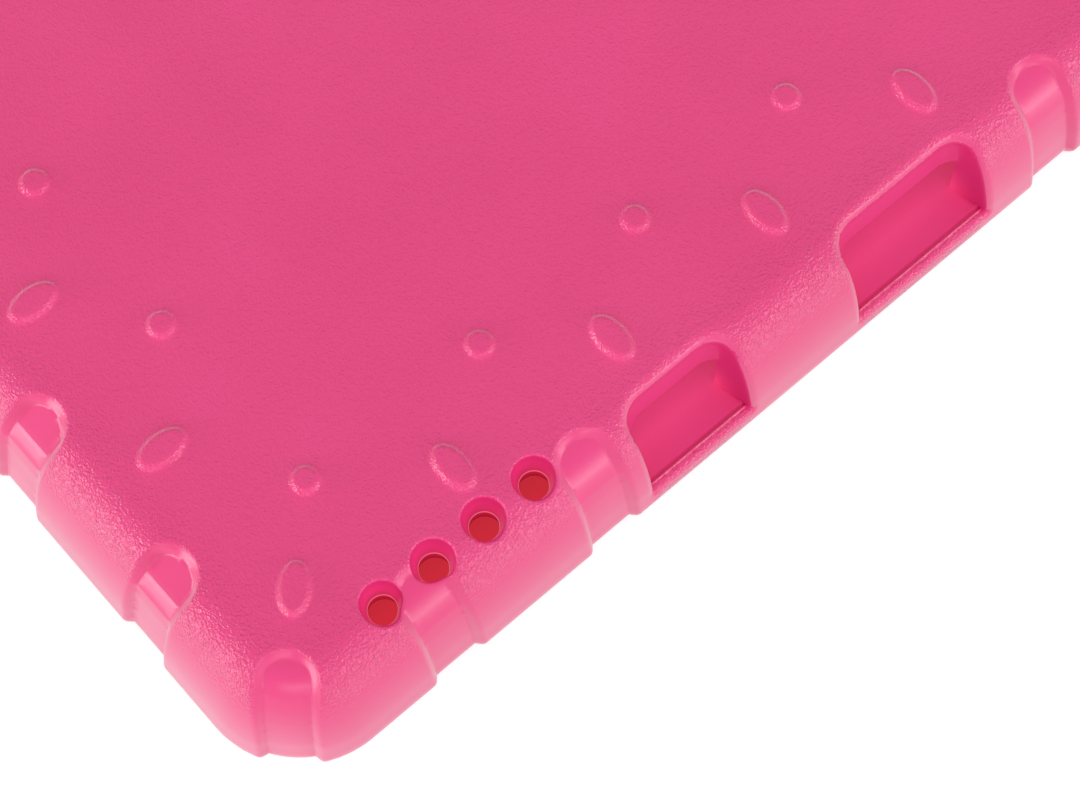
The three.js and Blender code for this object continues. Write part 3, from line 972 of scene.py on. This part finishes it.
patches = nodes.new("ShaderNodeTexNoise")
patches.inputs["Scale"].default_value = 45
patches.inputs["Detail"].default_value = 4
links.new(place.outputs["Object"], patches.inputs["Vector"])
tint = nodes.new("ShaderNodeValToRGB")
tint.color_ramp.elements[0].position = 0.35
tint.color_ramp.elements[0].color = (0.75, 0.007, 0.165, 1)
tint.color_ramp.elements[1].position = 0.65
tint.color_ramp.elements[1].color = (0.78, 0.012, 0.183, 1)
links.new(patches.outputs["Fac"], tint.inputs["Fac"])
links.new(tint.outputs["Color"], foam.inputs["Base Color"])

warp = nodes.new("ShaderNodeTexNoise")
warp.inputs["Scale"].default_value = 900
warp.inputs["Detail"].default_value = 2
links.new(place.outputs["Object"], warp.inputs["Vector"])
creases = nodes.new("ShaderNodeTexVoronoi")
creases.feature = "SMOOTH_F1"
creases.inputs["Scale"].default_value = 2600
creases.inputs["Smoothness"].default_value = 0.6
bent = nodes.new("ShaderNodeMix")
bent.data_type = "VECTOR"
bent.inputs["Factor"].default_value = 0.0011
links.new(place.outputs["Object"], bent.inputs["A"])
links.new(warp.outputs["Color"], bent.inputs["B"])
links.new(bent.outputs["Result"], creases.inputs["Vector"])
grain_mask = nodes.new("ShaderNodeAttribute")
grain_mask.attribute_name = "grain"
grain_relief = nodes.new("ShaderNodeMath")
grain_relief.operation = "MULTIPLY"
links.new(creases.outputs["Distance"], grain_relief.inputs[0])
links.new(grain_mask.outputs["Fac"], grain_relief.inputs[1])
relief = nodes.new("ShaderNodeBump")
relief.inputs["Strength"].default_value = 1
relief.inputs["Distance"].default_value = 0.00019
links.new(grain_relief.outputs["Value"], relief.inputs["Height"])
links.new(relief.outputs["Normal"], foam.inputs["Normal"])

# Inside, the skin is duller. Its emission is a painted glow that stands in for light bounced inside the
# pocket: deep red through the speaker holes, pink near the notches, and a pale painted highlight on the ring
# in each speaker hole.
pocket_foam = bpy.data.materials.new("pocket_foam")
pocket_foam.use_nodes = True
nodes = pocket_foam.node_tree.nodes
links = pocket_foam.node_tree.links
foam = nodes["Principled BSDF"]
foam.inputs["Base Color"].default_value = (0.74, 0.022, 0.176, 1)
foam.inputs["Roughness"].default_value = 0.5
foam.inputs["Specular IOR Level"].default_value = 0.35
glow_mask = nodes.new("ShaderNodeAttribute")
glow_mask.attribute_name = "glow"
painted_glow_strength = nodes.new("ShaderNodeMath")
painted_glow_strength.operation = "MULTIPLY"
painted_glow_strength.inputs[1].default_value = 0.4
links.new(glow_mask.outputs["Fac"], painted_glow_strength.inputs[0])
links.new(painted_glow_strength.outputs["Value"], foam.inputs["Emission Strength"])
hue_mask = nodes.new("ShaderNodeAttribute")
hue_mask.attribute_name = "hue"
painted_glow_hue = nodes.new("ShaderNodeValToRGB")
painted_glow_hue.color_ramp.elements[0].color = (1.0, 0.06, 0.09, 1)
painted_glow_hue.color_ramp.elements[1].color = (1.0, 0.5, 0.5, 1)
painted_glow_hue.color_ramp.elements.new(0.5).color = (1.0, 0.11, 0.3, 1)
links.new(hue_mask.outputs["Fac"], painted_glow_hue.inputs["Fac"])
links.new(painted_glow_hue.outputs["Color"], foam.inputs["Emission Color"])

foam_shell.data.materials.append(pink_foam)
foam_shell.data.materials.append(pocket_foam)
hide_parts("case_shell")
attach(foam_shell, "root")


# Floor
# A plain sheet that the case lies on. It glows only where the camera or a reflection sees it, so it
# shows pure white and still throws little light up at the case.
floor_reach = 3.0
floor_corners = [(x * floor_reach, y * floor_reach, 0) for x, y in [(-1, -1), (1, -1), (1, 1), (-1, 1)]]
floor_mesh = bpy.data.meshes.new("floor")
floor_mesh.from_pydata(floor_corners, [], [(0, 1, 2, 3)])
floor = bpy.data.objects.new("floor", floor_mesh)
bpy.context.scene.collection.objects.link(floor)
floor_paper = bpy.data.materials.new("floor_paper")
floor_paper.use_nodes = True
paper = floor_paper.node_tree.nodes["Principled BSDF"]
paper.inputs["Base Color"].default_value = (0.48, 0.48, 0.48, 1)
paper.inputs["Roughness"].default_value = 0.9
paper.inputs["Emission Color"].default_value = (1, 1, 1, 1)
ray = floor_paper.node_tree.nodes.new("ShaderNodeLightPath")
seen = floor_paper.node_tree.nodes.new("ShaderNodeMath")
seen.operation = "MAXIMUM"
floor_paper.node_tree.links.new(ray.outputs["Is Camera Ray"], seen.inputs[0])
floor_paper.node_tree.links.new(ray.outputs["Is Glossy Ray"], seen.inputs[1])
whitened = floor_paper.node_tree.nodes.new("ShaderNodeMath")
whitened.operation = "MULTIPLY"
whitened.inputs[1].default_value = 0.72
floor_paper.node_tree.links.new(seen.outputs["Value"], whitened.inputs[0])
floor_paper.node_tree.links.new(whitened.outputs["Value"], paper.inputs["Emission Strength"])
floor_mesh.materials.append(floor_paper)


# Lights
# Three broad lamps stand low on the camera's side: one on the left, one on the right and a weak one at
# the near corner. The room is white all round, and dimmer low down on the far side.
ROOM_LIGHT = 0.94
FAR_ROOM_LIGHT = 0.3
FAR_AND_LOW = (0.646, 0.763, -0.55)
world = bpy.data.worlds.new("room")
bpy.context.scene.world = world
world.use_nodes = True
world.node_tree.nodes["Background"].inputs["Color"].default_value = (1, 1, 1, 1)
toward = world.node_tree.nodes.new("ShaderNodeTexCoord")
far_and_low = world.node_tree.nodes.new("ShaderNodeVectorMath")
far_and_low.operation = "DOT_PRODUCT"
far_and_low.inputs[1].default_value = FAR_AND_LOW
dimmed = world.node_tree.nodes.new("ShaderNodeMapRange")
dimmed.inputs["From Min"].default_value = 0.15
dimmed.inputs["From Max"].default_value = 0.75
dimmed.inputs["To Min"].default_value = ROOM_LIGHT
dimmed.inputs["To Max"].default_value = FAR_ROOM_LIGHT
world.node_tree.links.new(toward.outputs["Generated"], far_and_low.inputs[0])
world.node_tree.links.new(far_and_low.outputs["Value"], dimmed.inputs["Value"])
world.node_tree.links.new(dimmed.outputs["Result"], world.node_tree.nodes["Background"].inputs["Strength"])


def softbox(name, place, width, height, power):
    """A broad lamp that faces the case, with its size in metres and its power in watts."""
    light = bpy.data.lights.new(name, "AREA")
    light.shape = "RECTANGLE"
    light.size = width
    light.size_y = height
    light.energy = power
    lamp = bpy.data.objects.new(name, light)
    bpy.context.scene.collection.objects.link(lamp)
    lamp.location = place
    lamp.rotation_euler = (Vector((0, 0, 0)) - Vector(place)).to_track_quat("-Z", "Y").to_euler()


softbox("left_lamp", (-0.96, 0.28, 0.13), 0.8, 0.2, 3.2)
softbox("near_lamp", (0.3, -0.93, 0.17), 0.9, 0.27, 2.45)
softbox("corner_lamp", (-0.61, -0.72, 0.34), 0.6, 0.22, 0.7)

bpy.context.scene.view_settings.view_transform = "Standard"
